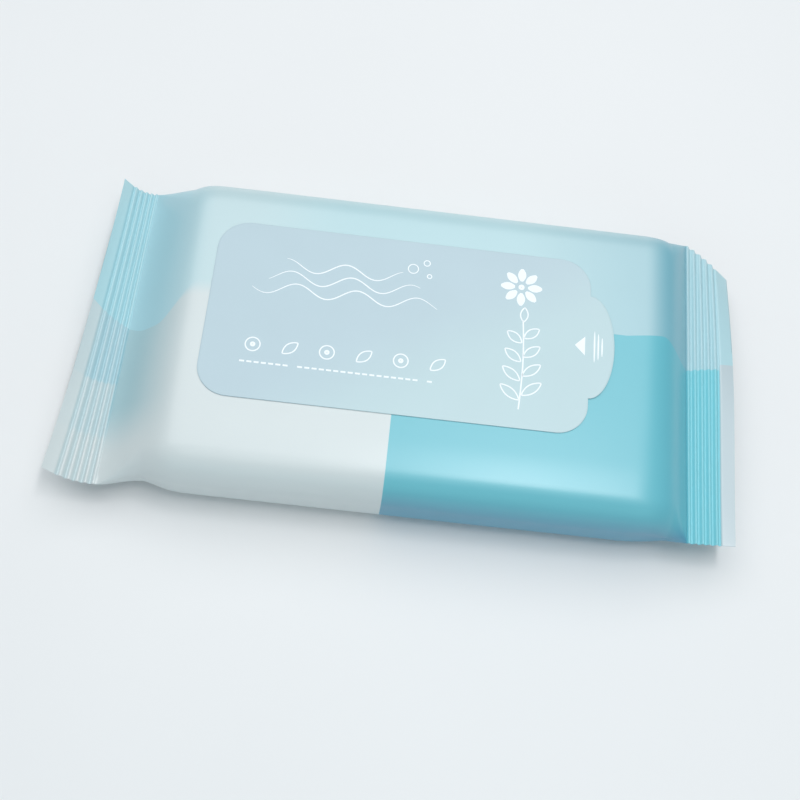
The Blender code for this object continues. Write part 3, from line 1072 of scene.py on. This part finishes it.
def makeDashRow(ink):
    mesh = bpy.data.meshes.new("printDashes")
    steps = dashes["steps"]
    points = [(mix(dashes["start"], dashes["end"], i / steps), dashes["y"], 0.0) for i in range(steps + 1)]
    mesh.from_pydata(points, [(i, i + 1) for i in range(steps)], [])
    obj = bpy.data.objects.new("printDashes", mesh)
    bpy.context.scene.collection.objects.link(obj)
    applyTree(obj, dashRowTree(), {"Pitch": dashes["pitch"], "Dash Length": dashes["length"],
                                   "Dash Height": dashes["height"], "Skip": dashes["skip"],
                                   "Seed": dashes["seed"], "Ink": ink})
    for vert in obj.data.vertices:
        level = 1.0 if vert.co.z > 0.0 else 0.2
        x, y = labelCentre.x + vert.co.x, labelCentre.y + vert.co.y
        vert.co = (x, y, labelTop(x, y) + printed["inkHeight"] * level)
    return obj


filmInk = filmMaterial()
labelInk = labelMaterial()
whiteInk = inkMaterial()
print("materials ready")

wrapperPiece = makeWrapper()
applyTree(wrapperPiece, crimpRibsTree(),
          {"Rib Count": float(wrapper["ribCount"]), "Rib Height": wrapper["ribHeight"], "Film": filmInk})
wrapperPiece.data.shade_smooth()
wrapperPiece.data.set_sharp_from_angle(angle=math.radians(75.0))
print("wrapper ready", len(wrapperPiece.data.polygons))

labelPiece = makeLabel(labelInk)
printMakers = (makeWaves, makeIconRow, makeFlower, makeSprig, makeTabMarks, makeDashRow)
prints = [make(whiteInk) for make in printMakers]
print("label and print ready")

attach(wrapperPiece, "root")
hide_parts("film_pack")
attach(labelPiece, "root")
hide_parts("reseal_label")
for piece in prints:
    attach(piece, "root")

studio = {
    "floor": screenColour((239, 237, 237)),
    "floorHalfSize": 6.0,
    "floorSpecular": 0.2,
    "floorRoughness": 0.8,
    "floorGrain": 0.05,
    "floorCloudScale": 6.0,
    "aim": (0.0, 0.0, 0.01),    # the lights point here
    "sky": screenColour((206, 224, 232)),
    "skyStrength": 0.455,
    "frontLight": {"place": (0.05, -0.60, 0.26), "size": (0.9, 0.4), "power": 0.38,
                   "colour": (0.50, 0.92, 1.0)},
    "keyLight": {"place": (-0.08, 0.30, 0.62), "size": (0.9, 0.6), "power": 2.35},
    "topLight": {"place": (0.115, 0.0, 0.60), "size": (0.29, 0.07), "power": 1.05},
    "softLight": {"place": (0.06, -0.20, 0.56), "size": (0.5, 0.3), "power": 0.42},
    "lens": 50.0,
    "azimuth": -5.08,
    "elevation": 67.25,
    "roll": 11.12,
    "distance": 238.6 * mm,
    "target": (1.66 * mm, -18.06 * mm),
}


def makeFloor():
    material, tree, shader = newMaterial("paleFloor", studio["floorSpecular"])
    addGrain(tree, shader, studio["floor"], studio["floorRoughness"], studio["floorGrain"],
             studio["floorCloudScale"])
    bm = bmesh.new()
    bmesh.ops.create_grid(bm, x_segments=2, y_segments=2, size=studio["floorHalfSize"])
    return finishMesh("studioFloor", bm, material)


def makeLight(name, values, aim):
    lamp = bpy.data.lights.new(name, "AREA")
    lamp.shape = "RECTANGLE"
    lamp.size, lamp.size_y = values["size"]
    lamp.energy = values["power"]
    lamp.color = values.get("colour", (1.0, 1.0, 1.0))
    obj = bpy.data.objects.new(name, lamp)
    obj.location = values["place"]
    obj.rotation_euler = (aim - obj.location).to_track_quat("-Z", "Y").to_euler()
    bpy.context.scene.collection.objects.link(obj)


def makeCamera():
    camera = bpy.data.cameras.new("camera")
    camera.lens = studio["lens"]
    camera.sensor_width = 36.0
    camera.clip_start = 0.01
    azimuth, elevation = math.radians(studio["azimuth"]), math.radians(studio["elevation"])
    level = math.cos(elevation)
    back = Vector((math.sin(azimuth) * level, -math.cos(azimuth) * level, math.sin(elevation)))
    right = Vector((math.cos(azimuth), math.sin(azimuth), 0.0))
    up = back.cross(right)
    roll = math.radians(studio["roll"])
    turnedRight = right * math.cos(roll) + up * math.sin(roll)
    turnedUp = up * math.cos(roll) - right * math.sin(roll)
    aim = Vector((labelCentre.x + studio["target"][0], labelCentre.y + studio["target"][1], labelHigh.z))
    obj = bpy.data.objects.new("camera", camera)
    turned = Matrix((turnedRight, turnedUp, back)).transposed().to_4x4()
    obj.matrix_world = Matrix.Translation(aim + back * studio["distance"]) @ turned
    bpy.context.scene.collection.objects.link(obj)
    bpy.context.scene.camera = obj


def makeWorld():
    world = bpy.data.worlds.new("studio")
    world.use_nodes = True
    background = world.node_tree.nodes["Background"]
    background.inputs["Color"].default_value = studio["sky"]
    background.inputs["Strength"].default_value = studio["skyStrength"]
    bpy.context.scene.world = world


makeFloor()
middle = Vector(studio["aim"])
makeLight("topLight", studio["topLight"], middle)
makeLight("softLight", studio["softLight"], middle)
makeLight("keyLight", studio["keyLight"], middle)
makeLight("frontLight", studio["frontLight"], middle)
makeWorld()
makeCamera()
bpy.context.scene.view_settings.view_transform = "Standard"
print("floor, light and camera ready")
